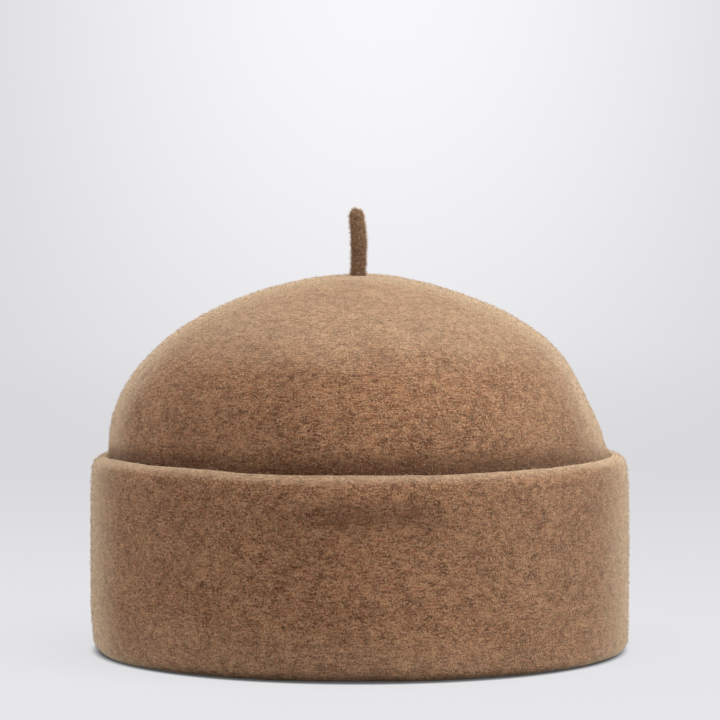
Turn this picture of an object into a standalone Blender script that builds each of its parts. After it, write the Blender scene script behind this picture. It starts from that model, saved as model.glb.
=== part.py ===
"""A wool felt hat: a round crown, a cuff turned up round it, and a short felt stalk on top.

Crown and cuff are one blocked piece of felt. It runs down from the top of the crown, folds
outwards along the hem that the hat rests on, and goes up again as the cuff, to a rounded cut edge.
The hat stands on z = 0 with its front towards -Y. Azimuths are seen from above, in degrees from +X,
so the front is at -90.
"""

import math
from collections import namedtuple

import bmesh
import bpy
import numpy as np

# Driving dimensions, in metres.
HALF_WIDTH = 0.094  # hem and cuff outside, middle to side
HALF_DEPTH = 0.105  # hem and cuff outside, middle to front
FELT = 0.003  # thickness of the felt
CUFF_HEIGHT = 0.0702  # floor to rim at the front
CROWN_RISE = 0.0613  # level of the rim to the top of the crown
HEM_GAP = 0.0025  # between crown and cuff, just above the hem's fold
RIM_GAP = 0.0033  # between crown and cuff, at the level of the rim
RIM_LEAN = 0.0010  # how far the rim leans in
HEM_PRESS = 0.0004  # how much the hem's fold is flattened where it rests
STALK_DIAMETER = 0.0054
STALK_HEIGHT = 0.0228
STALK_SEAT = 0.0003  # clearance between the stalk and the crown under it

# How finely the felt and the stalk are faceted.
AZIMUTHS = 64
DOME_RINGS = 13
WALL_RINGS = 4
FOLD_RINGS = 8
CUFF_RINGS = 10
RIM_STEPS = 4
STALK_SIDES = 16

CUFF_RING_CROWDING = 1.4  # 1 spaces the cuff's rings evenly, more crowds them towards the rim
RIM_LEAN_CURVE = 14  # how late up the cuff its rim starts to lean in

# The crown above the rim. Each row is a level section: how far round the curve of a plain oval
# dome it lies, in degrees from the rim's level to the top, and its reach to each side, as a share
# of that dome's reach there.
CrownSection = namedtuple("CrownSection", "rise left right front back")
CROWN_SECTIONS = (
    CrownSection(rise=0, left=1.000, right=0.996, front=1.000, back=1.000),
    CrownSection(rise=15, left=1.005, right=1.000, front=1.002, back=1.002),
    CrownSection(rise=30, left=1.001, right=0.989, front=0.995, back=0.997),
    CrownSection(rise=45, left=0.980, right=0.952, front=0.970, back=0.966),
    CrownSection(rise=60, left=0.934, right=0.895, front=0.920, back=0.915),
    CrownSection(rise=75, left=0.890, right=0.813, front=0.860, back=0.850),
    CrownSection(rise=90, left=0.870, right=0.790, front=0.830, back=0.820),
)

# Broad dents, pushed in square to the vertical. Height and tall are shares of CROWN_RISE above the
# rim on the crown, and of CUFF_HEIGHT above the floor on the cuff. Depth is a share of HALF_WIDTH.
# Spread, in degrees, and tall are how far from its middle a dent is still 0.6 as deep.
Dent = namedtuple("Dent", "azimuth height depth spread tall")
CROWN_DENTS = (
    Dent(azimuth=2, height=0.30, depth=0.052, spread=27, tall=0.175),
    Dent(azimuth=-121, height=0.10, depth=0.026, spread=15, tall=0.26),
    Dent(azimuth=120, height=0.45, depth=0.018, spread=20, tall=0.26),
)
CUFF_DENTS = (
    Dent(azimuth=180, height=0.04, depth=0.012, spread=24, tall=0.07),
    Dent(azimuth=-86, height=1.02, depth=0.018, spread=22, tall=0.09),
    Dent(azimuth=-88, height=0.72, depth=0.007, spread=17, tall=0.08),
    Dent(azimuth=-150, height=0.55, depth=0.006, spread=14, tall=0.22),
    Dent(azimuth=58, height=0.90, depth=0.014, spread=22, tall=0.13),
)

# Where the rim dips below its height at the front. Depth is a share of CUFF_HEIGHT, and spread, in
# degrees, is how far from its middle a dip is still 0.6 as deep.
RimDip = namedtuple("RimDip", "azimuth depth spread")
RIM_DIPS = (
    RimDip(azimuth=170, depth=0.028, spread=17),
    RimDip(azimuth=12, depth=0.022, spread=17),
    RimDip(azimuth=90, depth=0.012, spread=40),
)

# The stalk. Each row is a level section: its height and radius as shares of the stalk's height and
# radius, and how far its middle has moved sideways, as shares of the stalk's diameter.
StalkSection = namedtuple("StalkSection", "height radius right back")
STALK_SECTIONS = (
    StalkSection(height=0.00, radius=1.07, right=0.00, back=0.00),
    StalkSection(height=0.06, radius=1.05, right=0.00, back=0.00),
    StalkSection(height=0.18, radius=0.98, right=-0.01, back=0.01),
    StalkSection(height=0.32, radius=0.99, right=0.01, back=0.02),
    StalkSection(height=0.46, radius=1.01, right=0.02, back=0.03),
    StalkSection(height=0.60, radius=1.00, right=0.00, back=0.04),
    StalkSection(height=0.75, radius=0.99, right=-0.05, back=0.04),
    StalkSection(height=0.86, radius=1.00, right=-0.10, back=0.05),
    StalkSection(height=0.93, radius=0.90, right=-0.13, back=0.05),
    StalkSection(height=0.98, radius=0.62, right=-0.15, back=0.05),
)
STALK_TOP_SHIFT = (-0.16, 0.05)  # of the stalk's very top, right and back
STALK_OFFSET = -0.07  # where the stalk stands, right of the middle, as a share of its diameter

BODY_COLOUR = (0.33, 0.20, 0.12, 1.0)
STALK_COLOUR = (0.25, 0.14, 0.075, 1.0)
FELT_ROUGHNESS = 0.95
SHARP_EDGE = 50  # degrees between two faces, past which their edge isn't shaded round

TURN = 2 * math.pi
AZIMUTH_STEPS = np.arange(AZIMUTHS) * TURN / AZIMUTHS


def clear_scene():
    for old in list(bpy.data.objects):
        bpy.data.objects.remove(old, do_unlink=True)


def smooth_between(places, values, at):
    """A curve through the values at those places, with no kink, read at one place."""
    slopes = np.gradient(values, places)
    i = int(np.clip(np.searchsorted(places, at) - 1, 0, len(places) - 2))
    step = places[i + 1] - places[i]
    t = (at - places[i]) / step
    return (
        values[i] * (1 + 2 * t) * (1 - t) ** 2
        + slopes[i] * step * t * (1 - t) ** 2
        + values[i + 1] * t**2 * (3 - 2 * t)
        + slopes[i + 1] * step * t**2 * (t - 1)
    )


def oval_ring(left, right, front, back, height):
    """Points round a level oval that reaches a different way to each of its four sides."""
    x = np.cos(AZIMUTH_STEPS)
    y = np.sin(AZIMUTH_STEPS)
    x = x * np.where(x > 0, right, left)
    y = y * np.where(y > 0, back, front)
    return np.stack([x, y, np.full(AZIMUTHS, height)], axis=1)


def even_ring(inset, height):
    """A level oval that lies this far inside the outside of the cuff."""
    wide = HALF_WIDTH - inset
    deep = HALF_DEPTH - inset
    return oval_ring(wide, wide, deep, deep, height)


def dented(rings, dents, base, span):
    """Pushes the dents into the rings, whose heights the dents share out over span from base."""
    azimuth = np.degrees(np.arctan2(rings[..., 1], rings[..., 0]))
    height = (rings[..., 2] - base) / span
    outward = rings * (1, 1, 0)
    outward /= np.maximum(np.linalg.norm(outward, axis=-1, keepdims=True), FELT)
    for dent in dents:
        away = degrees_round(azimuth, dent.azimuth) / dent.spread
        above = (height - dent.height) / dent.tall
        share = np.exp(-0.5 * (away**2 + above**2))
        rings = rings - outward * (share * dent.depth * HALF_WIDTH)[..., None]
    return rings


def crown_rings():
    """The middle of the felt down the crown, from the ring next to its top to the hem's fold."""
    middle = FELT / 2
    inset = FELT + RIM_GAP + middle
    wide = HALF_WIDTH - inset
    deep = HALF_DEPTH - inset
    rise = CROWN_RISE - middle
    places = [section.rise for section in CROWN_SECTIONS]
    rings = []
    for degrees in np.linspace(90, 0, DOME_RINGS + 1)[1:]:
        out = math.cos(math.radians(degrees))
        left, right, front, back = (
            out * smooth_between(places, [getattr(section, side) for section in CROWN_SECTIONS], degrees)
            for side in ("left", "right", "front", "back")
        )
        up = CUFF_HEIGHT + rise * math.sin(math.radians(degrees))
        rings.append(oval_ring(wide * left, wide * right, deep * front, deep * back, up))
    rim_level = rings[-1]
    hem_level = even_ring(FELT + HEM_GAP + middle, fold_height())
    for share in np.linspace(0, 1, WALL_RINGS + 1)[1:]:
        widening = share**2 * (3 - 2 * share)
        ring = rim_level + (hem_level - rim_level) * widening
        ring[:, 2] = CUFF_HEIGHT + (fold_height() - CUFF_HEIGHT) * share
        rings.append(ring)
    return dented(np.array(rings), CROWN_DENTS, CUFF_HEIGHT, CROWN_RISE)


def fold_radius():
    """Of the middle of the felt, where it turns from the crown into the cuff."""
    return (FELT + HEM_GAP) / 2


def fold_height():
    """Of the middle of the hem's fold above the floor."""
    return fold_radius() + FELT / 2 - HEM_PRESS


def fold_rings():
    """The middle of the felt round the hem's fold, from the crown's side to the cuff's."""
    middle = FELT / 2 + fold_radius()
    rings = []
    for angle in np.linspace(0, math.pi, FOLD_RINGS + 1)[1:-1]:
        inset = middle + fold_radius() * math.cos(angle)
        rings.append(even_ring(inset, fold_height() - fold_radius() * math.sin(angle)))
    return np.array(rings)


def degrees_round(azimuth, middle):
    """How far round the hat each azimuth lies from a middle, from -180 to 180 degrees."""
    return (azimuth - middle + 180) % 360 - 180


def rim_heights():
    """Of the middle of the felt at the rim, at each azimuth."""
    share = np.ones(AZIMUTHS)
    for dip in RIM_DIPS:
        away = degrees_round(np.degrees(AZIMUTH_STEPS), dip.azimuth)
        share -= dip.depth * np.exp(-0.5 * (away / dip.spread) ** 2)
    return CUFF_HEIGHT * share - FELT / 2


def cuff_rings():
    """The middle of the felt up the cuff, closer together towards the rim, which leans in."""
    top = rim_heights()
    rings = []
    for share in np.linspace(0, 1, CUFF_RINGS):
        up = 1 - (1 - share) ** CUFF_RING_CROWDING
        ring = even_ring(FELT / 2 + RIM_LEAN * up**RIM_LEAN_CURVE, 0.0)
        ring[:, 2] = fold_height() + (top - fold_height()) * up
        rings.append(ring)
    return np.array(rings)


def square_to_felt(rings, top):
    """The direction square to the felt at each point, on its outer side at the crown."""
    along = np.gradient(np.concatenate([top[None], rings]), axis=0)[1:]
    across = np.roll(rings, -1, axis=1) - np.roll(rings, 1, axis=1)
    normal = np.cross(across, along)
    return -normal / np.linalg.norm(normal, axis=-1, keepdims=True)


def loft(name, rings):
    """A closed mesh through rings of points, where a ring of one point is a pole."""
    mesh = bmesh.new()
    made = [[mesh.verts.new(point) for point in ring] for ring in rings]
    for here, there in zip(made, made[1:]):
        count = max(len(here), len(there))
        for i in range(count):
            j = (i + 1) % count
            if len(here) == 1:
                mesh.faces.new((here[0], there[i], there[j]))
            elif len(there) == 1:
                mesh.faces.new((here[j], here[i], there[0]))
            else:
                mesh.faces.new((here[j], here[i], there[i], there[j]))
    bmesh.ops.recalc_face_normals(mesh, faces=mesh.faces)
    data = bpy.data.meshes.new(name)
    mesh.to_mesh(data)
    mesh.free()
    return data


def felt_body():
    """Crown, hem and cuff: one sheet of felt, thickened to both sides, with a round cut edge."""
    cuff = np.concatenate([fold_rings(), cuff_rings()])
    rings = np.concatenate([crown_rings(), dented(cuff, CUFF_DENTS, 0.0, CUFF_HEIGHT)])
    top = np.array([0.0, 0.0, CUFF_HEIGHT + CROWN_RISE - FELT / 2])
    top_ring = np.broadcast_to(top, rings[0].shape)
    normal = square_to_felt(rings, top_ring)
    half = FELT / 2
    onward = rings[-1] - rings[-2]
    onward /= np.linalg.norm(onward, axis=-1, keepdims=True)
    edge = [
        rings[-1] + half * (math.cos(turn) * normal[-1] + math.sin(turn) * onward)
        for turn in np.linspace(0, math.pi, RIM_STEPS + 2)[1:-1]
    ]
    outer = [top[None] + (0, 0, half), *(rings + half * normal)]
    inner = [*(rings - half * normal)[::-1], top[None] - (0, 0, half)]
    section = [ring.copy() for ring in (*outer, *edge, *inner)]
    for ring in section:
        ring[:, 2] = np.maximum(ring[:, 2], 0.0)
    return loft("felt_body", section)


def stalk():
    """A short round roll of felt with a rounded top, leaning a little."""
    radius = STALK_DIAMETER / 2
    angles = np.arange(STALK_SIDES) * TURN / STALK_SIDES
    circle = np.stack([np.cos(angles), np.sin(angles), np.zeros(STALK_SIDES)], axis=1)
    rings = [np.zeros((1, 3))]
    for section in STALK_SECTIONS:
        shift = np.array([section.right, section.back]) * STALK_DIAMETER
        middle = np.array([*shift, section.height * STALK_HEIGHT])
        rings.append(middle + circle * radius * section.radius)
    top_shift = np.array(STALK_TOP_SHIFT) * STALK_DIAMETER
    rings.append(np.array([[*top_shift, STALK_HEIGHT]]))
    return loft("stalk", rings)


def place(mesh, material, location=(0, 0, 0)):
    piece = bpy.data.objects.new(mesh.name, mesh)
    piece.location = location
    bpy.context.scene.collection.objects.link(piece)
    mesh.materials.append(material)
    mesh.shade_smooth()
    mesh.set_sharp_from_angle(angle=math.radians(SHARP_EDGE))
    return piece


def felt_material(name, colour):
    material = bpy.data.materials.new(name)
    material.use_nodes = True
    surface = material.node_tree.nodes["Principled BSDF"]
    surface.inputs["Base Color"].default_value = colour
    surface.inputs["Roughness"].default_value = FELT_ROUGHNESS
    surface.inputs["Metallic"].default_value = 0.0
    return material


def main():
    clear_scene()
    place(felt_body(), felt_material("body_felt", BODY_COLOUR))
    on_crown = (STALK_OFFSET * STALK_DIAMETER, 0, CUFF_HEIGHT + CROWN_RISE + STALK_SEAT)
    place(stalk(), felt_material("stalk_felt", STALK_COLOUR), on_crown)


main()
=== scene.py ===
"""A wool felt hat in its finish: soft uneven felt, its stalk, the loose nap on both, and a studio.

The felt pieces start as copies of the frame's solids, so they keep its form and sizes. They are
made smooth, pressed into their small folds and roughened as felt is. Loose fibres lie on what
shows. The front of the hat faces -Y.
"""

import math

import bpy
import numpy as np
from mathutils.kdtree import KDTree
from bpy.props import FloatProperty, FloatVectorProperty, IntProperty, PointerProperty
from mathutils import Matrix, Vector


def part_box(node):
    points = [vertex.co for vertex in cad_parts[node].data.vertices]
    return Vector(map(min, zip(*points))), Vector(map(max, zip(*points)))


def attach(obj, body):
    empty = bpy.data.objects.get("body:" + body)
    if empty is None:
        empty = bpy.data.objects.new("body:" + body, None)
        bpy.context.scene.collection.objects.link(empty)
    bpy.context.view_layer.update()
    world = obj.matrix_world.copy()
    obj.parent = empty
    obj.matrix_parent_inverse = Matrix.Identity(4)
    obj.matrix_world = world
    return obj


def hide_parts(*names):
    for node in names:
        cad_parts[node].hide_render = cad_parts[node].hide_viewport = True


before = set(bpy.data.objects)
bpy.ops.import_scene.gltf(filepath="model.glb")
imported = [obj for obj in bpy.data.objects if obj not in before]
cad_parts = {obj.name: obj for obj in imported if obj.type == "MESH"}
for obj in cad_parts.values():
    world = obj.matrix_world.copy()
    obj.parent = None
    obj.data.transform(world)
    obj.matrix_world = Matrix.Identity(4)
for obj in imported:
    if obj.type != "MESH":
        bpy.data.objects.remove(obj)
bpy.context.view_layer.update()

bl_info = {
    "name": "Wool Felt Hat",
    "version": (1, 0, 0),
    "blender": (4, 5, 0),
    "location": "3D View > Sidebar > Wool Hat",
    "description": "Builds the felt, the stalk, the nap and the studio of a cuffed wool hat",
    "category": "Object",
}

BODY = "root"
HAT_LOW, HAT_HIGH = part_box("felt_body")
STALK_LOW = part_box("stalk")[0]
CREVICE = 0.95  # how far out the crevice behind the cuff's rim lies, as a share of half the hat
FULL_TURN = 2 * math.pi


# Settings


def colour(name, description, default):
    return FloatVectorProperty(
        name=name, description=description, subtype="COLOR", size=4, min=0.0, max=1.0, default=default
    )


def length(name, description, default):
    return FloatProperty(
        name=name, description=description, unit="LENGTH", subtype="DISTANCE", default=default
    )


def position(name, description, default):
    return FloatVectorProperty(
        name=name, description=description, unit="LENGTH", subtype="TRANSLATION", size=3, default=default
    )


def share(name, description, default):
    return FloatProperty(
        name=name, description=description, subtype="FACTOR", min=0.0, max=1.0, default=default
    )


def angle(name, description, default):
    return FloatProperty(
        name=name, description=description, unit="ROTATION", subtype="ANGLE", default=default
    )


def power(name, description, default):
    return FloatProperty(name=name, description=description, unit="POWER", default=default)


def number(name, description, default):
    return FloatProperty(name=name, description=description, default=default)


def whole(name, description, default):
    return IntProperty(name=name, description=description, default=default)


class FeltSettings(bpy.types.PropertyGroup):
    """The felt's colours, flecks and relief, and its painted highlights, shade and sheen."""

    ground: colour("Ground", "Main colour of the wool", (0.277, 0.137, 0.078, 1.0))
    light: colour("Light fibres", "Pale flecks in the wool", (0.530, 0.293, 0.157, 1.0))
    dark: colour("Dark fibres", "Brown flecks in the wool", (0.098, 0.041, 0.022, 1.0))
    warm: colour("Warm fibres", "Reddish flecks in the wool", (0.370, 0.145, 0.065, 1.0))
    straw: colour("Straw fibres", "Yellowish flecks in the wool", (0.305, 0.178, 0.070, 1.0))
    # Colour of the painted highlights and painted sheen, and of the palest loose fibres.
    pale: colour("Pale tips", "Colour of the nap's raised tips", (0.750, 0.565, 0.380, 1.0))
    # The stalk's felt colours are the hat's, made darker by this share.
    stalk_shade: share("Stalk shade", "How much darker the tightly rolled stalk is", 0.45)
    sheen: share("Sheen", "How strongly the nap catches light at a slant", 0.25)
    # Where the painted sheen begins: how far from face-on the felt is seen before it turns pale.
    slant: share("Slant", "How far from face-on the felt begins to show its pale tips", 0.53)
    crest_slant: share("Crest slant", "How much later it begins on top of the crown", 0.14)
    crown_slant: share("Crown slant", "How much later it begins on the rest of the crown", 0.06)
    stalk_slant: share("Stalk slant", "Where it begins on the thin stalk", 0.22)
    # Painted highlight: how pale the felt is made along the rim and low on the cuff.
    raised: share("Raised nap", "How pale the raised nap along the rim is", 0.41)
    # Painted shade: how dark the felt is made where the points are marked shadowed.
    pressed: share("Pressed nap", "How dark the nap is where it is pressed flat", 0.50)
    # Painted highlights: on the top of the crown, and on its right side.
    crest: share("Crest", "How pale the raised nap on top of the crown is", 0.26)
    lit: share("Brushed up", "How pale the brushed-up nap on the right is", 0.09)
    # How far the painted highlights and painted sheen follow the bumps.
    tip_relief: share("Tip relief", "How much paler the tips are on the bumps than between them", 0.6)
    # Where the painted highlight on the top of the crown begins, and how far the edges of the painted marks
    # stray.
    crest_height: length("Crest height", "Height at which the pale top of the crown begins", 0.106)
    crest_blend: length("Crest blend", "Over how much height it grows pale", 0.018)
    ragged: length("Ragged edge", "How far the edges of the pale parts stray", 0.014)
    fleck: length("Fleck size", "Width of a fleck", 0.00054)
    streak: length("Streak length", "Length of the streaks left by brushing round the hat", 0.0028)
    relief: length("Relief", "Height of the fine bumps", 0.00030)
    waves: length("Waves", "How far the felt's surface strays from an even one", 0.0007)
    wave_size: length("Wave size", "Width of a wave", 0.030)
    lumps: length("Lumps", "Height of the felt's small lumps", 0.0003)
    lump_size: length("Lump size", "Width of a small lump", 0.005)


class FoldSettings(bpy.types.PropertyGroup):
    """The soft roll of the rim, the crown tucked in behind it and the groove in the cuff's front."""

    rim_roll: length("Rim roll", "How far the rim's outer edge is drawn in at the sides", 0.0007)
    rim_roll_front: length("Front rim roll", "How far the outer edge is drawn in at the front", 0.0019)
    rim_roll_reach: length("Rim roll reach", "How far down the cuff the roll begins", 0.0042)
    rim_sink: length("Rim sink", "How far the rim's outer edge sinks as it rolls", 0.0003)
    rise: length("Rise", "How far the rim rises on the left of the front", 0.0006)
    rise_place: length("Rise place", "How far left of the middle it rises", 0.058)
    rise_reach: length("Rise reach", "How far along the rim the rise dies out", 0.020)
    rim_swell: length("Rim swell", "How far the rim swells towards the crown at the sides", 0.0016)
    rim_swell_reach: length("Rim swell reach", "How far up and down the swelling dies out", 0.0035)
    tuck: length("Tuck", "How far the crown is drawn in just above the rim, in front", 0.0011)
    tuck_reach: length("Tuck reach", "How far up and down the tuck dies out", 0.0070)
    side_fill: length("Side fill", "How far the crown bulges towards the rim on the right", 0.0012)
    side_fill_reach: length("Side fill reach", "How far up and down the bulge dies out", 0.0030)
    groove_depth: length("Groove depth", "How deep the groove below the rim is", 0.0013)
    groove_drop: length("Groove drop", "How far below the rim the groove runs", 0.0150)
    groove_reach: length("Groove reach", "Half the length of the groove", 0.0200)
    groove_width: length("Groove width", "How far above and below its line the groove dies out", 0.0055)


class PaintedLightSettings(bpy.types.PropertyGroup):
    """Where the felt gets its painted highlights and its painted shade."""

    # Painted highlight: along the rim's edge, and low on the cuff near the hem.
    rim_reach: length("Rim reach", "How far from the rim's edge the nap stands up", 0.0031)
    hem_height: length("Hem height", "Height above the floor at which the hem's nap stands up most", 0.004)
    hem_reach: length("Hem reach", "How far from there it still does", 0.016)
    hem_most: share("Hem nap", "How much the hem's nap stands up", 0.30)
    # Painted shade in the crevice above the rim.
    crevice_reach: length("Crevice reach", "How far from the rim's edge the crown's nap is pressed", 0.0080)
    crevice_weight: number("Crevice weight", "How firmly it would be pressed at the edge itself", 2.1)
    most_pressed: number("Most pressed", "The firmest that any nap is pressed", 1.4)
    # Painted shade along the groove below the rim.
    groove_across: length("Groove nap across", "Half the width of the pressed nap at the groove", 0.040)
    groove_up: length("Groove nap up", "Half its height", 0.0076)
    groove_weight: number("Groove weight", "How firmly it is pressed in the middle", 1.2)
    # Painted shade on the left of the crown's front.
    patch_left: length("Patch place", "How far left of the middle the crown has been handled", 0.046)
    patch_height: length("Patch height", "Height of the middle of that patch", 0.095)
    patch_across: length("Patch across", "Half its width", 0.046)
    patch_up: length("Patch up", "Half its height", 0.026)
    patch_weight: number("Patch weight", "How firmly the nap is pressed towards its middle", 0.6)
    patch_most: share("Patch nap", "The firmest that it is pressed there", 0.2)


class StalkSettings(bpy.types.PropertyGroup):
    """The foot and the surface of the stalk."""

    foot: length("Foot", "Height of the stalk's foot", 0.003)
    sink: length("Sink", "How far the foot goes down into the crown", 0.0012)
    sink_reach: length("Sink reach", "How far up the stalk follows it", 0.006)
    # Painted shade low on the stalk, where it meets the crown.
    shade_height: length("Shade height", "How far up its nap is pressed flat", 0.014)
    shade_most: share("Shade", "How firmly it is pressed at the foot", 0.9)
    lump_size: length("Lump size", "Width of the stalk's lumps", 0.004)
    fuzz_size: length("Fuzz size", "Width of its finer lumps", 0.0015)


class NapSettings(bpy.types.PropertyGroup):
    """The loose fibres on the felt."""

    length: length("Fibre length", "Length of a loose fibre", 0.0016)
    thickness: length("Fibre thickness", "Width of a loose fibre at its middle", 0.00010)
    bow: share("Bow", "Rise of a fibre's middle, as a share of its length", 0.14)
    root: share("Root", "How far from its middle a fibre is held, as a share of half of it", 0.8)
    lift: angle("Lift", "How far a fibre tips out of the felt", 0.70)
    dip: angle("Dip", "How far a fibre tips into the felt", 0.1)
    smallest: number("Smallest", "Size of the smallest fibre", 0.6)
    largest: number("Largest", "Size of the largest fibre", 1.4)
    crown_count: whole("Crown fibres", "Fibres on each half of the crown", 30000)
    cuff_count: whole("Cuff fibres", "Fibres on each half of the cuff", 30000)
    stalk_count: whole("Stalk fibres", "Fibres on the stalk", 2400)


class StageSettings(bpy.types.PropertyGroup):
    """The floor, the lights and the camera."""

    paper: colour("Paper", "Colour of the floor and backdrop", (0.978, 0.974, 1.0, 1.0))
    paper_share: share("Paper share", "How much of the room's light the paper throws back", 0.10)
    paper_light: number("Paper light", "The paper's own light", 0.588)
    # Painted pools of light in the paper's glow.
    near_glow: number("Near glow", "More light round the hat", 0.085)
    near_place: position("Near glow's place", "Middle of that light", (-0.06, -0.12, 0.0))
    near_radii: position("Near glow's size", "How far it reaches", (0.9, 0.9, 1.0))
    high_glow: number("High glow", "More light high on the backdrop", 0.334)
    high_place: position("High glow's place", "Middle of that light", (0.012, 2.3, 0.16))
    high_radii: position("High glow's size", "How far it reaches", (0.37, 1.9, 0.6))
    # Painted shadow under the hat, in the paper's glow.
    shadow_across: number("Foot across", "Width of the shade under the hat, as a share of the hat's", 0.975)
    shadow_deep: number("Foot depth", "Depth of the shade under the hat, as a share of the hat's", 1.035)
    light_in_shadow: share("Foot light", "Light left under the hat", 0.08)
    sheet_width: length("Sheet width", "Width of the paper", 8.0)
    sheet_height: length("Sheet height", "Height of the backdrop", 3.0)
    sheet_curve: length("Sheet curve", "Where the floor begins to curve up, in front of the backdrop", 1.0)
    backdrop_distance: length("Backdrop distance", "From the hat to the backdrop", 2.4)
    key_power: power("Key light", "Power of the high soft light", 20.5)
    right_power: power("Right light", "Power of the light on the right", 5.6)
    left_power: power("Left light", "Power of the light on the left", 6.0)
    surround: number("Surround", "Brightness of the white room", 0.32)
    camera_shift: length("Camera shift", "Right of the hat's middle", 0.00018)
    camera_distance: length("Camera distance", "From the hat's middle, level", 3.052)
    camera_height: length("Camera height", "Above the floor", 0.338)
    camera_tilt: angle("Camera tilt", "Down from level", math.radians(4.43))
    camera_lens: number("Lens", "Focal length in millimetres", 437.75)


# Shared steps


def only(*pieces):
    """Leaves nothing selected but these pieces, the last of them active."""
    bpy.ops.object.select_all(action="DESELECT")
    for piece in pieces:
        piece.select_set(True)
        bpy.context.view_layer.objects.active = piece


def added(name):
    """The object that an operator has just added, renamed."""
    piece = bpy.context.object
    piece.name = name
    piece.data.name = name
    return piece


def points_of(piece):
    """Where the mesh's points lie."""
    points = np.empty(len(piece.data.vertices) * 3)
    piece.data.vertices.foreach_get("co", points)
    return points.reshape(-1, 3)


def select_points(piece, chosen):
    """Selects these vertices, and the edges and faces between them, in object mode."""
    mesh = piece.data
    chosen = np.asarray(chosen, bool)
    mesh.vertices.foreach_set("select", chosen)
    ends = np.empty(len(mesh.edges) * 2, np.int32)
    mesh.edges.foreach_get("vertices", ends)
    mesh.edges.foreach_set("select", chosen[ends.reshape(-1, 2)].all(axis=1))
    mesh.polygons.foreach_set("select", [all(chosen[i] for i in face.vertices) for face in mesh.polygons])


def apply_modifier(piece, kind, **values):
    """Adds a modifier with these values and applies it."""
    only(piece)
    modifier = piece.modifiers.new(kind.lower(), kind)
    for key, value in values.items():
        setattr(modifier, key, value)
    bpy.ops.object.modifier_apply(modifier=modifier.name)


def copy_of_node(node, name):
    """A smooth-shaded quad copy of a frame solid, with its loose triangles joined."""
    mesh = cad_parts[node].data.copy()
    mesh.name = name
    mesh.materials.clear()
    piece = bpy.data.objects.new(name, mesh)
    bpy.context.scene.collection.objects.link(piece)
    only(piece)
    bpy.ops.object.mode_set(mode="EDIT")
    bpy.ops.mesh.select_all(action="SELECT")
    bpy.ops.mesh.remove_doubles(threshold=0.00001)
    bpy.ops.mesh.tris_convert_to_quads(face_threshold=math.radians(60), shape_threshold=math.radians(60))
    bpy.ops.mesh.normals_make_consistent(inside=False)
    bpy.ops.object.mode_set(mode="OBJECT")
    bpy.ops.object.shade_smooth()
    return piece


def roughen(piece, name, height, size):
    """Moves the surface in and out by soft clouds of this height and width."""
    clouds = bpy.data.textures.new(name, "CLOUDS")
    clouds.noise_scale = size
    clouds.noise_depth = 1
    values = {"texture": clouds, "texture_coords": "LOCAL", "strength": height, "mid_level": 0.5}
    apply_modifier(piece, "DISPLACE", **values)


def rest_on_floor(piece):
    """Presses flat what reaches below the floor."""
    points = points_of(piece)
    select_points(piece, points[:, 2] < 0.0)
    bpy.ops.object.mode_set(mode="EDIT")
    bpy.ops.transform.resize(value=(1.0, 1.0, 0.0), center_override=(0.0, 0.0, 0.0))
    bpy.ops.object.mode_set(mode="OBJECT")


def finish_piece(piece, material):
    """Gives a piece its one material and binds it to the hat's body."""
    piece.data.materials.clear()
    piece.data.materials.append(material)
    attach(piece, BODY)


# Materials

WOOL_COLOURS = ("ground", "light", "dark", "warm", "straw")
CROWN_WALL = (0.070, 0.095)  # heights between which the crown's wall begins to round over
FULL_SLANT = 1.05  # a little past edge-on
SHADE_OVER_SHEEN = (0.3, 1.4)  # how strong the painted shade is when it begins and ceases to hold back the painted sheen
SHEEN_UNDER_SHADE = 0.25  # what is left of the painted sheen under it then


class Nodes:
    """Adds nodes to a tree and links them by their sockets' names."""

    def __init__(self, tree):
        self.tree = tree

    def add(self, kind, values=None, **settings):
        node = self.tree.nodes.new(kind)
        for key, value in settings.items():
            setattr(node, key, value)
        for key, value in (values or {}).items():
            self.feed(value, node.inputs[key])
        return node

    def feed(self, value, socket):
        if isinstance(value, bpy.types.NodeSocket):
            self.tree.links.new(value, socket)
        else:
            socket.default_value = value

    def math(self, operation, a, b=0.0):
        return self.add("ShaderNodeMath", {0: a, 1: b}, operation=operation).outputs[0]

    def total(self, *values):
        result = values[0]
        for value in values[1:]:
            result = self.math("ADD", result, value)
        return result

    def swing(self, noise, weight):
        """A noise made to swing about zero, by this weight."""
        return self.math("MULTIPLY", self.math("SUBTRACT", noise, 0.5), weight)

    def vector(self, operation, a, b=None, output="Vector"):
        values = {0: a} if b is None else {0: a, "Scale" if operation == "SCALE" else 1: b}
        return self.add("ShaderNodeVectorMath", values, operation=operation).outputs[output]

    def attribute(self, name, output="Fac"):
        return self.add("ShaderNodeAttribute", attribute_name=name).outputs[output]

    def ramp(self, value, low, high, to_low=0.0, to_high=1.0):
        """Goes softly from one value to another while the input goes from low to high."""
        values = {"Value": value, "From Min": low, "From Max": high, "To Min": to_low, "To Max": to_high}
        return self.add("ShaderNodeMapRange", values, interpolation_type="SMOOTHSTEP").outputs["Result"]

    def mix(self, factor, a, b):
        node = self.add("ShaderNodeMix", data_type="RGBA")
        self.feed(factor, node.inputs[0])
        self.feed(a, node.inputs[6])
        self.feed(b, node.inputs[7])
        return node.outputs[2]

    def noise(self, vector, scale, detail=2.0, roughness=0.5, distortion=0.0):
        values = {
            "Vector": vector,
            "Scale": scale,
            "Detail": detail,
            "Roughness": roughness,
            "Distortion": distortion,
        }
        return self.add("ShaderNodeTexNoise", values).outputs["Fac"]


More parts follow.
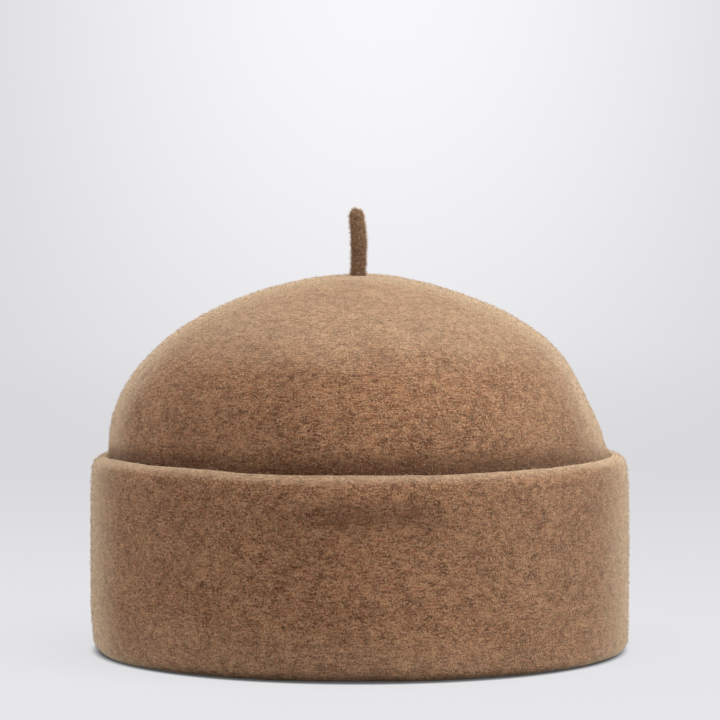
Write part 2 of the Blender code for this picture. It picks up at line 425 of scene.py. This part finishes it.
def streaks_in(n, place, per_fleck, per_streak):
    """Noise that is long round the hat, and thin up its wall and towards the crown's middle."""
    parts = n.add("ShaderNodeSeparateXYZ", {0: place}).outputs
    reach = n.total(n.math("MULTIPLY", parts[0], parts[0]), n.math("MULTIPLY", parts[1], parts[1]))
    reach = n.math("SQRT", reach)
    round_hat = n.add("ShaderNodeSeparateXYZ", {0: n.vector("SCALE", place, per_streak)}).outputs
    up = n.math("MULTIPLY", parts[2], per_fleck)
    values = {
        "Vector": n.add("ShaderNodeCombineXYZ", {0: round_hat[0], 1: round_hat[1], 2: up}).outputs[0],
        "W": n.math("MULTIPLY", reach, per_fleck),
        "Scale": 1.0,
        "Detail": 1.5,
        "Roughness": 0.5,
    }
    return n.add("ShaderNodeTexNoise", values, noise_dimensions="4D").outputs["Fac"]


def wool_flecks_group():
    """Flecks of differently dyed wool: their colour, and the height of the fibres that make them."""
    tree = bpy.data.node_groups.new("wool_flecks", "ShaderNodeTree")
    for name in WOOL_COLOURS:
        tree.interface.new_socket(name.title(), in_out="INPUT", socket_type="NodeSocketColor")
    for name in ("Fleck", "Streak"):
        tree.interface.new_socket(name, in_out="INPUT", socket_type="NodeSocketFloat")
    tree.interface.new_socket("Color", in_out="OUTPUT", socket_type="NodeSocketColor")
    tree.interface.new_socket("Height", in_out="OUTPUT", socket_type="NodeSocketFloat")
    n = Nodes(tree)
    given = n.add("NodeGroupInput").outputs
    place = n.add("ShaderNodeTexCoord").outputs["Object"]
    per_fleck = n.math("DIVIDE", 1.0, given["Fleck"])
    per_streak = n.math("DIVIDE", 1.0, given["Streak"])
    flecks = n.vector("SCALE", place, per_fleck)

    streaks = streaks_in(n, place, per_fleck, per_streak)
    fine = n.noise(flecks, 1.0, 2.0, 0.6, 0.9)
    hue = n.noise(flecks, 0.45, 2.0, 0.5, 0.8)
    blotch = n.noise(flecks, 0.16, 2.0, 0.5)
    broad = n.noise(flecks, 0.03, 2.0, 0.5)

    # A curled fibre is a thin line along which a noise crosses its middle value.
    curls = n.math("ABSOLUTE", n.math("SUBTRACT", n.noise(flecks, 0.75, 1.0, 0.5, 1.6), 0.5))
    curls = n.math("SUBTRACT", 0.5, n.math("MULTIPLY", curls, 5.0))

    tone = n.total(
        n.swing(fine, 2.7),
        n.swing(streaks, 1.25),
        n.swing(blotch, 0.78),
        n.swing(broad, 0.40),
        n.math("MULTIPLY", curls, 0.28),
    )
    wool = n.mix(n.ramp(tone, 0.0, 0.35), given["Ground"], given["Light"])
    wool = n.mix(n.ramp(tone, 0.0, -0.35), wool, given["Dark"])
    wool = n.mix(n.ramp(hue, 0.52, 0.70, 0.0, 0.75), wool, given["Warm"])
    wool = n.mix(n.ramp(hue, 0.48, 0.32, 0.0, 0.45), wool, given["Straw"])
    height = n.total(
        n.swing(fine, 1.0),
        n.swing(streaks, 0.9),
        n.math("MULTIPLY", curls, 0.22),
        n.swing(blotch, 0.8),
    )
    result = n.add("NodeGroupOutput").inputs
    n.feed(wool, result["Color"])
    n.feed(height, result["Height"])
    return tree


def shaded(value, shade):
    """A colour made darker by a share, with its alpha kept."""
    return (*(part * (1.0 - shade) for part in value[:3]), 1.0)


def new_material(name):
    """A material with nothing in it yet, and the adder of its nodes."""
    material = bpy.data.materials.new(name)
    material.use_nodes = True
    material.node_tree.nodes.clear()
    return material, Nodes(material.node_tree)


def painted_light_masks(n, felt, slant):
    """How strongly the felt gets painted highlight, painted shade and painted sheen, in that order."""
    place = n.add("ShaderNodeTexCoord").outputs["Object"]
    parts = n.add("ShaderNodeSeparateXYZ", {0: place}).outputs
    ragged = n.math("MULTIPLY", n.noise(place, 90.0, 3.0, 0.6), felt.ragged)
    right = n.math("ADD", parts[0], ragged)
    up = n.math("ADD", parts[2], ragged)
    pressed = n.attribute("pressed")

    # Painted highlight on the top of the crown and on its right side, joined with that along the rim and
    # hem.
    top = n.ramp(up, felt.crest_height, felt.crest_height + felt.crest_blend)
    crest = n.math("MULTIPLY", top, felt.crest)
    lit = n.ramp(right, 0.0, HAT_HIGH.x, 0.0, felt.lit)
    raised = n.math("MULTIPLY", n.attribute("raised"), felt.raised)
    raised = n.math("MAXIMUM", raised, n.math("ADD", crest, lit))

    # Painted sheen: the felt turns pale as it is seen more from the side, later on the crown's top and
    # wall.
    start = n.math("ADD", n.math("MULTIPLY", top, felt.crest_slant), slant)
    start = n.math("ADD", n.ramp(up, *CROWN_WALL, 0.0, felt.crown_slant), start)
    facing = n.add("ShaderNodeLayerWeight", {"Blend": 0.5}).outputs["Facing"]
    turned = n.ramp(facing, start, FULL_SLANT)
    # Painted shade holds back the painted sheen.
    turned = n.math("MULTIPLY", turned, n.ramp(pressed, *SHADE_OVER_SHEEN, 1.0, SHEEN_UNDER_SHADE))
    return raised, pressed, turned


def felt_material(name, flecks, felt, shade, slant):
    """Napped wool felt: flecks of colour over fine bumps, with painted highlights, painted shade and
    painted sheen at a slant.
    """
    material, n = new_material(name)
    wool = n.add("ShaderNodeGroup", node_tree=flecks)
    for part in WOOL_COLOURS:
        wool.inputs[part.title()].default_value = shaded(getattr(felt, part), shade)
    wool.inputs["Fleck"].default_value = felt.fleck
    wool.inputs["Streak"].default_value = felt.streak
    height = wool.outputs["Height"]
    bump = n.add("ShaderNodeBump", {"Strength": 1.0, "Distance": felt.relief, "Height": height})

    raised, pressed, turned = painted_light_masks(n, felt, slant)
    tips = n.math("ADD", 1.0, n.math("MULTIPLY", height, felt.tip_relief))
    pale = shaded(felt.pale, shade)
    dark = shaded(felt.dark, shade)
    # Painted shade: the flecks go dark where the points are marked shadowed.
    nap = n.mix(n.math("MULTIPLY", pressed, felt.pressed), wool.outputs["Color"], dark)
    # Painted highlight: pale along the rim and hem, on the crown's top and on its right side.
    nap = n.mix(n.math("MULTIPLY", raised, tips), nap, pale)
    # Painted sheen: pale mixed in where the felt is seen at a slant.
    surface = n.add(
        "ShaderNodeBsdfPrincipled",
        {
            "Base Color": n.mix(n.math("MULTIPLY", turned, tips), nap, pale),
            "Roughness": 0.92,
            "Metallic": 0.0,
            "Specular IOR Level": 0.10,
            "Sheen Weight": felt.sheen,
            "Sheen Roughness": 0.30,
            "Sheen Tint": (1.0, 0.88, 0.68, 1.0),
            "Normal": bump.outputs["Normal"],
        },
    )
    n.add("ShaderNodeOutputMaterial", {"Surface": surface.outputs["BSDF"]})
    return material


def fibre_material(felt):
    """Loose fibres, each in its own tone, with painted sheen where the felt that they lie on is seen at a
    slant.
    """
    material, n = new_material("loose_wool")
    ground = n.attribute("ground", "Vector")
    # Painted sheen: each fibre turns pale as the felt below it is seen at a slant.
    facing = n.add("ShaderNodeLayerWeight", {"Blend": 0.5, "Normal": ground}).outputs["Facing"]
    tone = n.attribute("tone")
    wool = n.mix(n.ramp(tone, 0.0, 0.5), felt.ground[:], felt.light[:])
    wool = n.mix(n.ramp(tone, 0.6, 1.0), wool, felt.pale[:])
    surface = n.add(
        "ShaderNodeBsdfPrincipled",
        {
            "Base Color": n.mix(n.ramp(facing, 0.4, 0.9), wool, felt.pale[:]),
            "Roughness": 0.9,
            "Specular IOR Level": 0.0,
        },
    )
    n.add("ShaderNodeOutputMaterial", {"Surface": surface.outputs["BSDF"]})
    return material


def glow_at(n, place, centre, radii):
    """A soft pool of light: one at its centre, none past its radii."""
    away = n.vector("DIVIDE", n.vector("SUBTRACT", place, centre), radii)
    return n.ramp(n.vector("LENGTH", away, output="Value"), 1.0, 0.0)


def paper_material(stage):
    """Paper that glows by itself and throws back a little light, with painted pools of light round the hat
    and high up and a painted shadow under the hat, seen from its front only.
    """
    material, n = new_material("studio_paper")
    place = n.add("ShaderNodeTexCoord").outputs["Object"]
    # Painted pools of light: round the hat and high on the backdrop.
    near = glow_at(n, place, stage.near_place[:], stage.near_radii[:])
    high = glow_at(n, place, stage.high_place[:], stage.high_radii[:])
    level = n.total(
        n.math("MULTIPLY", near, stage.near_glow),
        n.math("MULTIPLY", high, stage.high_glow),
        stage.paper_light,
    )
    # Painted shadow: the glow is held back under the hat and just round it.
    under_hat = (stage.shadow_across * HAT_HIGH.x, stage.shadow_deep * HAT_HIGH.y, 1.0)
    foot = n.vector("LENGTH", n.vector("DIVIDE", place, under_hat), output="Value")
    level = n.math("MULTIPLY", level, n.ramp(foot, 0.985, 1.035, stage.light_in_shadow, 1.0))
    behind = n.add("ShaderNodeNewGeometry").outputs["Backfacing"]
    surface = n.add(
        "ShaderNodeBsdfPrincipled",
        {
            "Base Color": (*(part * stage.paper_share for part in stage.paper[:3]), 1.0),
            "Roughness": 0.9,
            "Specular IOR Level": 0.1,
            "Emission Color": n.vector("SCALE", stage.paper[:3], level),
            "Emission Strength": 1.0,
            "Alpha": n.math("SUBTRACT", 1.0, behind),
        },
    )
    n.add("ShaderNodeOutputMaterial", {"Surface": surface.outputs["BSDF"]})
    return material


# Felt


def vertex_normals(piece):
    normals = np.empty(len(piece.data.vertices) * 3)
    piece.data.vertices.foreach_get("normal", normals)
    return normals.reshape(-1, 3)


def reach_of(points):
    """How far out each point lies, as a share of the hat's half width or half depth."""
    return np.hypot(points[:, 0] / HAT_HIGH.x, points[:, 1] / HAT_HIGH.y)


def outwardness(points, normals):
    """How far each normal points away from the hat's upright axis."""
    return (normals[:, :2] * points[:, :2]).sum(axis=1) / np.hypot(points[:, 0], points[:, 1])


def pull(piece, chosen, size, falloff, scale=None, move=None):
    """Scales about the upright axis, or moves, the chosen points, with the felt near them following."""
    select_points(piece, chosen)
    options = {
        "use_proportional_edit": True,
        "use_proportional_connected": True,
        "proportional_edit_falloff": falloff,
        "proportional_size": size,
    }
    bpy.ops.object.mode_set(mode="EDIT")
    if scale:
        bpy.ops.transform.resize(value=scale, center_override=(0.0, 0.0, 0.0), **options)
    if move:
        bpy.ops.transform.translate(value=move, **options)
    bpy.ops.object.mode_set(mode="OBJECT")


def drawn_in(sides, front):
    """Scale that draws the hat in by a distance at its sides and another at its front and back."""
    return (1.0 - sides / HAT_HIGH.x, 1.0 - front / HAT_HIGH.y, 1.0)


def mark(piece, name, values):
    """Raises a value kept on the points, where the new one is greater."""
    layers = piece.data.attributes
    layer = layers.get(name) or layers.new(name, "FLOAT", "POINT")
    kept = np.zeros(len(values))
    layer.data.foreach_get("value", kept)
    layer.data.foreach_set("value", np.maximum(kept, values))


def mark_near(piece, name, chosen, distance, weight=1.0, where=True, most=1.0):
    """Raises a value kept on the points: the most at the chosen ones, none past a distance from them."""
    points = points_of(piece)
    tree = KDTree(int(chosen.sum()))
    for i in np.flatnonzero(chosen):
        tree.insert(points[i], int(i))
    tree.balance()
    near = np.array([weight * max(0.0, 1.0 - tree.find(point)[2] / distance) for point in points])
    mark(piece, name, np.where(where, np.minimum(near, most), 0.0))


def shade_patch(piece, points, middle, half_size, weight, most):
    """Paints shade on an oval patch on the front, less towards its edge."""
    away = np.hypot((points[:, 0] - middle[0]) / half_size[0], (points[:, 2] - middle[1]) / half_size[1])
    mark(piece, "pressed", np.where(points[:, 1] < 0.0, np.clip(weight - weight * away, 0.0, most), 0.0))


def rim_height(points, near):
    """Height of the rim's top where the given points are."""
    return points[near & (reach_of(points) > CREVICE), 2].max()


def front_rim_height(points):
    """Height of the rim's top at the front of the hat."""
    return rim_height(points, points[:, 1] < 0.9 * HAT_LOW.y)


def fold_regions(points, normals, fold, lie):
    """The points that each fold takes hold of, by the fold's name."""
    reach = reach_of(points)
    outward = outwardness(points, normals)
    right, deep, up = points.T
    across = np.abs(right)
    rim = front_rim_height(points)
    side_rim = rim_height(points, across > 0.93 * HAT_HIGH.x)
    outer_cuff = (reach > CREVICE) & (outward > 0.8)
    inner_cuff = (reach > 0.935) & (outward < -0.5)
    crown = (reach < 0.955) & (outward > 0.5)
    edge = (reach > CREVICE) & (up > rim - 0.006) & (normals[:, 2] > 0.45) & (outward > 0.1)
    groove = (deep < 0.93 * HAT_LOW.y) & (across < fold.groove_reach) & (outward > 0.5)
    return {
        "edge": edge,
        "hem": outer_cuff & (np.abs(up - lie.hem_height) < 0.001),
        "rise": edge & (deep < 0.0) & (np.abs(right + fold.rise_place) < 0.006),
        "swell": inner_cuff & (across > 0.6 * HAT_HIGH.x) & (up > side_rim - 0.004),
        "crevice": crown & (deep < 0.0),
        "tuck": crown & (deep < 0.60 * HAT_LOW.y) & (np.abs(up - rim - 0.0005) < 0.0015),
        "fill": crown & (right > 0.8 * HAT_HIGH.x) & (np.abs(up - rim + 0.004) < 0.003),
        "groove": groove & (np.abs(up - rim + fold.groove_drop) < 0.0012),
    }


def shape_folds(piece, fold, lie):
    """Rolls the rim over, tucks the crown in above it and presses the groove below it, and marks the felt's
    painted highlights and painted shade.
    """
    points = points_of(piece)
    at = fold_regions(points, vertex_normals(piece), fold, lie)

    # Painted highlight along the rim's edge and low on the cuff, kept on the points.
    mark_near(piece, "raised", at["edge"], lie.rim_reach)
    mark_near(piece, "raised", at["hem"], lie.hem_reach, lie.hem_most)
    roll = drawn_in(fold.rim_roll, fold.rim_roll_front)
    pull(piece, at["edge"], fold.rim_roll_reach, "SHARP", scale=roll, move=(0.0, 0.0, -fold.rim_sink))
    pull(piece, at["rise"], fold.rise_reach, "SMOOTH", move=(0.0, 0.0, fold.rise))
    pull(piece, at["swell"], fold.rim_swell_reach, "SMOOTH", scale=drawn_in(fold.rim_swell, 0.0))

    # Painted shade in the crevice above the rim, near the rim's edge.
    mark_near(
        piece,
        "pressed",
        at["edge"],
        lie.crevice_reach,
        lie.crevice_weight,
        where=at["crevice"],
        most=lie.most_pressed,
    )
    pull(piece, at["tuck"], fold.tuck_reach, "SMOOTH", scale=drawn_in(fold.tuck, fold.tuck))
    pull(piece, at["fill"], fold.side_fill_reach, "SMOOTH", move=(fold.side_fill, 0.0, 0.0))

    # Painted shade along the groove and on the left of the crown's front.
    groove = (0.0, front_rim_height(points) - fold.groove_drop)
    shade_patch(piece, points, groove, (lie.groove_across, lie.groove_up), lie.groove_weight, 1.0)
    left_shade = (-lie.patch_left, lie.patch_height)
    shade_patch(piece, points, left_shade, (lie.patch_across, lie.patch_up), lie.patch_weight, lie.patch_most)
    pull(piece, at["groove"], fold.groove_width, "SMOOTH", move=(0.0, fold.groove_depth, 0.0))


class WOOLHAT_OT_felt_body(bpy.types.Operator):
    """Make the crown and its turned-up cuff"""

    bl_idname = "woolhat.felt_body"
    bl_label = "Crown and Cuff"
    bl_options = {"REGISTER", "UNDO"}

    def execute(self, context):
        felt = context.scene.woolhat_felt
        piece = copy_of_node("felt_body", "crown_and_cuff")
        apply_modifier(piece, "SUBSURF", levels=2, render_levels=2)
        shape_folds(piece, context.scene.woolhat_fold, context.scene.woolhat_lie)
        roughen(piece, "soft_waves", felt.waves, felt.wave_size)
        roughen(piece, "small_lumps", felt.lumps, felt.lump_size)
        rest_on_floor(piece)
        finish_piece(piece, felt_materials(felt)["body"])
        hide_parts("felt_body")
        return {"FINISHED"}


class WOOLHAT_OT_stalk(bpy.types.Operator):
    """Make the rolled felt stalk on top of the crown"""

    bl_idname = "woolhat.stalk"
    bl_label = "Stalk"
    bl_options = {"REGISTER", "UNDO"}

    def execute(self, context):
        felt = context.scene.woolhat_felt
        stalk = context.scene.woolhat_stalk
        piece = copy_of_node("stalk", "rolled_stalk")
        apply_modifier(piece, "SUBSURF", levels=2, render_levels=2)
        foot = points_of(piece)[:, 2] < STALK_LOW.z + stalk.foot
        pull(piece, foot, stalk.sink_reach, "SMOOTH", move=(0.0, 0.0, -stalk.sink))
        # Painted shade low on the stalk, where it meets the crown.
        below = STALK_LOW.z + stalk.shade_height - points_of(piece)[:, 2]
        mark(piece, "pressed", np.clip(below / stalk.shade_height, 0.0, stalk.shade_most))
        roughen(piece, "stalk_lumps", felt.waves, stalk.lump_size)
        roughen(piece, "stalk_fuzz", felt.lumps, stalk.fuzz_size)
        finish_piece(piece, felt_materials(felt)["stalk"])
        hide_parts("stalk")
        return {"FINISHED"}


def felt_materials(felt):
    """The felt of the hat, that of its stalk, and their loose fibres, made once."""
    if "loose_wool" not in bpy.data.materials:
        flecks = wool_flecks_group()
        felt_material("body_felt_wool", flecks, felt, 0.0, felt.slant)
        felt_material("stalk_felt_wool", flecks, felt, felt.stalk_shade, felt.stalk_slant)
        fibre_material(felt)
    made = bpy.data.materials
    return {"body": made["body_felt_wool"], "stalk": made["stalk_felt_wool"], "fibre": made["loose_wool"]}


# Nap

HEM_NAP = 0.002  # height above the floor at which the cuff's fibres begin
CROWN_NAP = 0.47 * HAT_HIGH.z  # and the crown's, down in the crevice behind the rim


def fibre(nap):
    """One loose fibre along X: three-sided, thin at both ends, its middle bowed up."""
    half = nap.length / 2
    bpy.ops.object.select_all(action="DESELECT")
    bpy.ops.mesh.primitive_cone_add(
        vertices=3,
        radius1=nap.thickness / 2,
        radius2=0.0,
        depth=half,
        end_fill_type="TRIFAN",
        location=(half / 2, 0.0, 0.0),
        rotation=(0.0, math.pi / 2, 0.0),
    )
    piece = added("fibre")
    bpy.ops.object.transform_apply(location=True, rotation=True, scale=True)
    points = points_of(piece)
    on_axis = np.hypot(points[:, 1], points[:, 2]) < nap.thickness / 8
    base = on_axis & (points[:, 0] < half / 2)
    tip = on_axis & (points[:, 0] > half / 2)
    for end, move in ((base, -half), (tip, 0.0)):
        select_points(piece, end)
        bpy.ops.object.mode_set(mode="EDIT")
        bpy.ops.transform.translate(value=(move, 0.0, -nap.bow * nap.length))
        bpy.ops.object.mode_set(mode="OBJECT")
    piece.location.x = nap.root * half
    bpy.ops.object.transform_apply(location=True, rotation=False, scale=False)
    bpy.ops.object.shade_smooth()
    return piece


def random_number(n, low, high, seed):
    """A random number for each fibre."""
    values = {2: low, 3: high, "Seed": seed}
    return n.add("FunctionNodeRandomValue", values, data_type="FLOAT").outputs[1]


def random_turn(n, low, high, seed):
    """A random turn for each fibre."""
    values = {"Min": low, "Max": high, "Seed": seed}
    turn = n.add("FunctionNodeRandomValue", values, data_type="FLOAT_VECTOR").outputs["Value"]
    return n.add("FunctionNodeEulerToRotation", {"Euler": turn}).outputs["Rotation"]


def stored(n, geometry, name, value, kind):
    """Keeps a value on each fibre, under a name."""
    values = {"Geometry": geometry, "Name": name, "Value": value}
    node = n.add("GeometryNodeStoreNamedAttribute", values, data_type=kind, domain="INSTANCE")
    return node.outputs["Geometry"]


def nap_tree(source, count, area, nap, seed):
    """Lays copies of the fibre on every face, turned at random and tipped a little, as one mesh."""
    tree = bpy.data.node_groups.new("loose_fibres", "GeometryNodeTree")
    tree.interface.new_socket("Geometry", in_out="INPUT", socket_type="NodeSocketGeometry")
    tree.interface.new_socket("Geometry", in_out="OUTPUT", socket_type="NodeSocketGeometry")
    n = Nodes(tree)
    felt = n.add("NodeGroupInput").outputs["Geometry"]
    values = {"Mesh": felt, "Density": count / area, "Seed": seed}
    spread = n.add("GeometryNodeDistributePointsOnFaces", values).outputs
    tipped = random_turn(n, (-nap.lift, -nap.lift, 0.0), (nap.lift, nap.dip, FULL_TURN), seed + 1)
    values = {"Rotation": spread["Rotation"], "Rotate By": tipped}
    lie = n.add("FunctionNodeRotateRotation", values, rotation_space="LOCAL").outputs["Rotation"]
    values = {
        "Points": spread["Points"],
        "Instance": n.add("GeometryNodeObjectInfo", {"Object": source}).outputs["Geometry"],
        "Rotation": lie,
        "Scale": random_number(n, nap.smallest, nap.largest, seed + 2),
    }
    fibres = n.add("GeometryNodeInstanceOnPoints", values).outputs["Instances"]
    fibres = stored(n, fibres, "tone", random_number(n, 0.0, 1.0, seed + 3), "FLOAT")
    fibres = stored(n, fibres, "ground", spread["Normal"], "FLOAT_VECTOR")
    joined = n.add("GeometryNodeRealizeInstances", {"Geometry": fibres})
    n.add("NodeGroupOutput", {"Geometry": joined.outputs["Geometry"]})
    return tree


def ground_of(piece, name, keep):
    """A copy of a piece that keeps only the faces whose middles and normals pass a test."""
    ground = piece.copy()
    ground.data = piece.data.copy()
    ground.name = name
    ground.data.name = name
    ground.parent = None
    for key in list(ground.keys()):
        if key.startswith("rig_"):
            del ground[key]
    ground.data.materials.clear()
    bpy.context.scene.collection.objects.link(ground)
    only(ground)
    faces = ground.data.polygons
    middles = np.empty(len(faces) * 3)
    normals = np.empty(len(faces) * 3)
    faces.foreach_get("center", middles)
    faces.foreach_get("normal", normals)
    kept = keep(middles.reshape(-1, 3), normals.reshape(-1, 3))
    ground.data.vertices.foreach_set("select", np.zeros(len(ground.data.vertices), bool))
    ground.data.edges.foreach_set("select", np.zeros(len(ground.data.edges), bool))
    faces.foreach_set("select", ~kept)
    bpy.ops.object.mode_set(mode="EDIT")
    bpy.ops.mesh.select_mode(type="FACE")
    bpy.ops.mesh.delete(type="FACE")
    bpy.ops.mesh.select_mode(type="VERT")
    bpy.ops.object.mode_set(mode="OBJECT")
    return ground


def lay_nap(piece, name, keep, count, nap, seed):
    """Covers the chosen faces of a piece with loose fibres, as a piece of its own."""
    ground = ground_of(piece, name, keep)
    area = sum(face.area for face in ground.data.polygons)
    modifier = ground.modifiers.new("nap", "NODES")
    modifier.node_group = nap_tree(bpy.data.objects["fibre"], count, area, nap, seed)
    bpy.ops.object.modifier_apply(modifier=modifier.name)
    finish_piece(ground, bpy.data.materials["loose_wool"])


def faces_out(middles, normals):
    """Whether each face looks away from the middle of the hat."""
    middle = np.array([0.0, 0.0, 0.4 * HAT_HIGH.z])
    return ((middles - middle) * normals).sum(axis=1) > 0


def on_cuff(middles, normals):
    """The outer side and the rim of the cuff."""
    return faces_out(middles, normals) & (reach_of(middles) > CREVICE) & (middles[:, 2] > HEM_NAP)


def on_crown(middles, normals):
    """The outer side of the crown, down into the crevice behind the rim."""
    return faces_out(middles, normals) & (reach_of(middles) <= CREVICE) & (middles[:, 2] > CROWN_NAP)


def faces_up(middles, normals):
    """All but the underside of the stalk."""
    return normals[:, 2] > -0.5


def front(place):
    return lambda middles, normals: place(middles, normals) & (middles[:, 1] < 0.0)


def back(place):
    return lambda middles, normals: place(middles, normals) & (middles[:, 1] >= 0.0)


class WOOLHAT_OT_nap(bpy.types.Operator):
    """Lay loose fibres on the crown, the cuff and the stalk"""

    bl_idname = "woolhat.nap"
    bl_label = "Nap"
    bl_options = {"REGISTER", "UNDO"}

    def execute(self, context):
        nap = context.scene.woolhat_nap
        hat = bpy.data.objects["crown_and_cuff"]
        stalk = bpy.data.objects["rolled_stalk"]
        source = fibre(nap)
        for name, keep, count, seed in (
            ("crown_nap_front", front(on_crown), nap.crown_count, 11),
            ("crown_nap_back", back(on_crown), nap.crown_count, 13),
            ("cuff_nap_front", front(on_cuff), nap.cuff_count, 23),
            ("cuff_nap_back", back(on_cuff), nap.cuff_count, 29),
        ):
            lay_nap(hat, name, keep, count, nap, seed)
        lay_nap(stalk, "stalk_nap", faces_up, nap.stalk_count, nap, 37)
        bpy.data.objects.remove(source)
        return {"FINISHED"}


# Studio

LIGHTS = (  # name, place, size and the setting that holds its power
    ("top_light", (0.28, -0.18, 1.3), 1.4, "key_power"),
    ("right_light", (1.4, -0.55, 0.6), 0.9, "right_power"),
    ("left_light", (-1.3, 0.45, 0.45), 0.9, "left_power"),
)
LIT_POINT = (0.0, 0.0, 0.07)  # what the lights face


def paper_sweep(stage):
    """Floor and backdrop in one sheet, curved up behind the hat."""
    bpy.ops.object.select_all(action="DESELECT")
    bpy.ops.mesh.primitive_plane_add(size=1.0)
    paper = added("paper_sweep")
    far = stage.backdrop_distance
    bpy.ops.object.mode_set(mode="EDIT")
    bpy.ops.transform.resize(value=(stage.sheet_width, 2.0 * far, 1.0))
    bpy.ops.object.mode_set(mode="OBJECT")
    select_points(paper, points_of(paper)[:, 1] > 0.0)
    bpy.ops.object.mode_set(mode="EDIT")
    bpy.ops.mesh.extrude_edges_move(TRANSFORM_OT_translate={"value": (0.0, 0.0, stage.sheet_height)})
    bpy.ops.object.mode_set(mode="OBJECT")
    points = points_of(paper)
    select_points(paper, (points[:, 1] > far * 0.99) & (points[:, 2] < 0.01))
    bpy.ops.object.mode_set(mode="EDIT")
    bpy.ops.mesh.bevel(offset=stage.sheet_curve, segments=24, profile=0.5)
    bpy.ops.object.mode_set(mode="OBJECT")
    bpy.ops.object.shade_smooth()
    return paper


def soft_light(name, location, size, power):
    """A square soft light that faces the hat."""
    bpy.ops.object.light_add(type="AREA", location=location)
    lamp = added(name)
    lamp.data.shape = "SQUARE"
    lamp.data.size = size
    lamp.data.energy = power
    lamp.visible_camera = False
    direction = np.array(LIT_POINT) - np.array(location)
    level = math.hypot(direction[0], direction[1])
    lamp.rotation_euler = (math.atan2(level, -direction[2]), 0.0, math.atan2(-direction[0], direction[1]))


def white_room(strength):
    """A plain white world that lights everything evenly."""
    room = bpy.data.worlds.new("white_room")
    room.use_nodes = True
    background = room.node_tree.nodes["Background"].inputs
    background["Color"].default_value = (1.0, 1.0, 1.0, 1.0)
    background["Strength"].default_value = strength
    return room


def camera_at_hat(stage):
    """A long lens, level with the hat's middle and looking down a little."""
    bpy.ops.object.camera_add(
        location=(stage.camera_shift, -stage.camera_distance, stage.camera_height),
        rotation=(math.pi / 2 - stage.camera_tilt, 0.0, 0.0),
    )
    camera = added("camera")
    camera.data.lens = stage.camera_lens
    camera.data.sensor_width = 36.0
    camera.data.clip_end = 50.0
    return camera


class WOOLHAT_OT_stage(bpy.types.Operator):
    """Make the paper floor, the soft lights and the camera"""

    bl_idname = "woolhat.stage"
    bl_label = "Studio"
    bl_options = {"REGISTER", "UNDO"}

    def execute(self, context):
        stage = context.scene.woolhat_stage
        paper = paper_sweep(stage)
        paper.data.materials.append(paper_material(stage))
        for name, location, size, setting in LIGHTS:
            soft_light(name, location, size, getattr(stage, setting))
        context.scene.world = white_room(stage.surround)
        context.scene.view_settings.view_transform = "Standard"
        context.scene.camera = camera_at_hat(stage)
        return {"FINISHED"}


class WOOLHAT_PT_panel(bpy.types.Panel):
    """Lists the hat's pieces and their settings"""

    bl_idname = "WOOLHAT_PT_panel"
    bl_label = "Wool Hat"
    bl_space_type = "VIEW_3D"
    bl_region_type = "UI"
    bl_category = "Wool Hat"

    def draw(self, context):
        for operator, groups in PARTS:
            box = self.layout.box()
            box.operator(operator.bl_idname)
            for settings in groups:
                group = getattr(context.scene, settings)
                for name in SETTINGS[settings].__annotations__:
                    box.prop(group, name)


SETTINGS = {
    "woolhat_felt": FeltSettings,
    "woolhat_fold": FoldSettings,
    "woolhat_lie": PaintedLightSettings,
    "woolhat_stalk": StalkSettings,
    "woolhat_nap": NapSettings,
    "woolhat_stage": StageSettings,
}
PARTS = (
    (WOOLHAT_OT_felt_body, ("woolhat_felt", "woolhat_fold", "woolhat_lie")),
    (WOOLHAT_OT_stalk, ("woolhat_stalk",)),
    (WOOLHAT_OT_nap, ("woolhat_nap",)),
    (WOOLHAT_OT_stage, ("woolhat_stage",)),
)
CLASSES = (*SETTINGS.values(), *(operator for operator, _ in PARTS), WOOLHAT_PT_panel)


def register():
    for item in CLASSES:
        bpy.utils.register_class(item)
    for name, group in SETTINGS.items():
        setattr(bpy.types.Scene, name, PointerProperty(type=group))


def unregister():
    for name in SETTINGS:
        delattr(bpy.types.Scene, name)
    for item in reversed(CLASSES):
        bpy.utils.unregister_class(item)


def main():
    register()
    bpy.ops.woolhat.felt_body()
    bpy.ops.woolhat.stalk()
    bpy.ops.woolhat.nap()
    bpy.ops.woolhat.stage()


if __name__ == "__main__":
    main()
